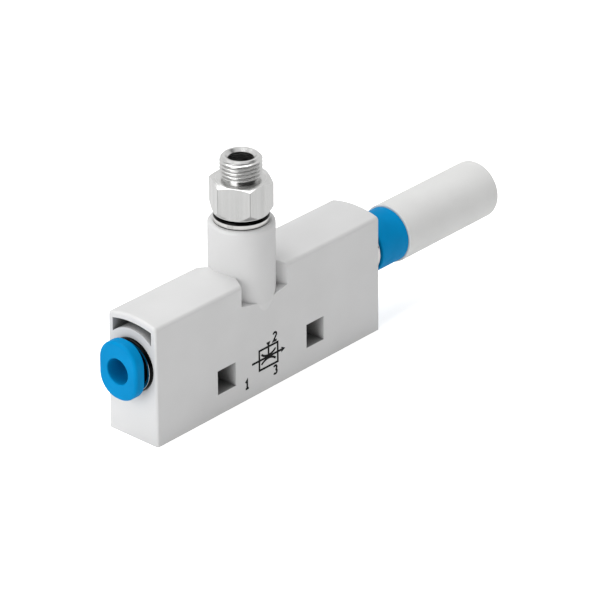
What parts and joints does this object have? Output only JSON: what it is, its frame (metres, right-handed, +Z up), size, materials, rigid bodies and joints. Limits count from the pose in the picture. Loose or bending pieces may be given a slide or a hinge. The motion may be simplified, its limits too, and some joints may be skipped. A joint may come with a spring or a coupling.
{
  "type": "vacuum ejector",
  "caption": "Inline vacuum ejector: crowned plastic housing, push-in supply port, swivelling threaded vacuum stud and plug-in porous silencer.",
  "frame": {"origin": "on the flat base, directly below the axis of the vacuum port", "axes": "+X along the housing from the supply end to the exhaust end, +Z up along the threaded stud of the vacuum port, +Y to the housing's far side"},
  "size_m": [0.1248, 0.0154, 0.0569],
  "materials": {
    "housing_plastic": "moulded polyamide or polyester, light grey, satin",
    "nickel_plate": "turned brass, nickel plated",
    "blue_acetal": "moulded acetal, bright blue",
    "spring_steel": "stamped spring steel",
    "plain_brass": "turned",
    "nitrile": "moulded nitrile rubber",
    "turned_aluminium": "turned",
    "natural_acetal": "moulded acetal, natural",
    "porous_polyethylene": "sintered, fine grain"
  },
  "bodies": {
    "ejector_housing": {"housing": "housing_plastic", "supply_collar": "nickel_plate", "supply_grip_ring": "spring_steel", "supply_support_ring": "plain_brass", "supply_tube_seal": "nitrile", "jet_nozzle": "turned_aluminium", "jet_nozzle_seal": "nitrile", "receiver_nozzle": "natural_acetal", "receiver_nozzle_seal": "nitrile", "vacuum_collar": "nickel_plate", "exhaust_collar": "nickel_plate", "exhaust_grip_ring": "spring_steel", "exhaust_support_ring": "plain_brass", "exhaust_stem_seal": "nitrile", "silencer_collar": "blue_acetal", "silencer_sleeve": "porous_polyethylene"},
    "release_ring": {"supply_release_ring": "blue_acetal"},
    "threaded_stud": {"vacuum_stud": "nickel_plate", "vacuum_stud_seal": "nitrile", "vacuum_snap_ring": "spring_steel"}
  },
  "joints": [
    {"name": "release_ring_press", "type": "slide", "parent": "ejector_housing", "child": "release_ring", "axis": [1, 0, 0], "range_m": [0, 0.001], "stiffness_N_per_m": 400, "springref_m": -0.001},
    {"name": "stud_swivel", "type": "hinge", "parent": "ejector_housing", "child": "threaded_stud", "pos_m": [0, 0, 0.0411], "axis": [0, 0, 1], "continuous": true}
  ]
}
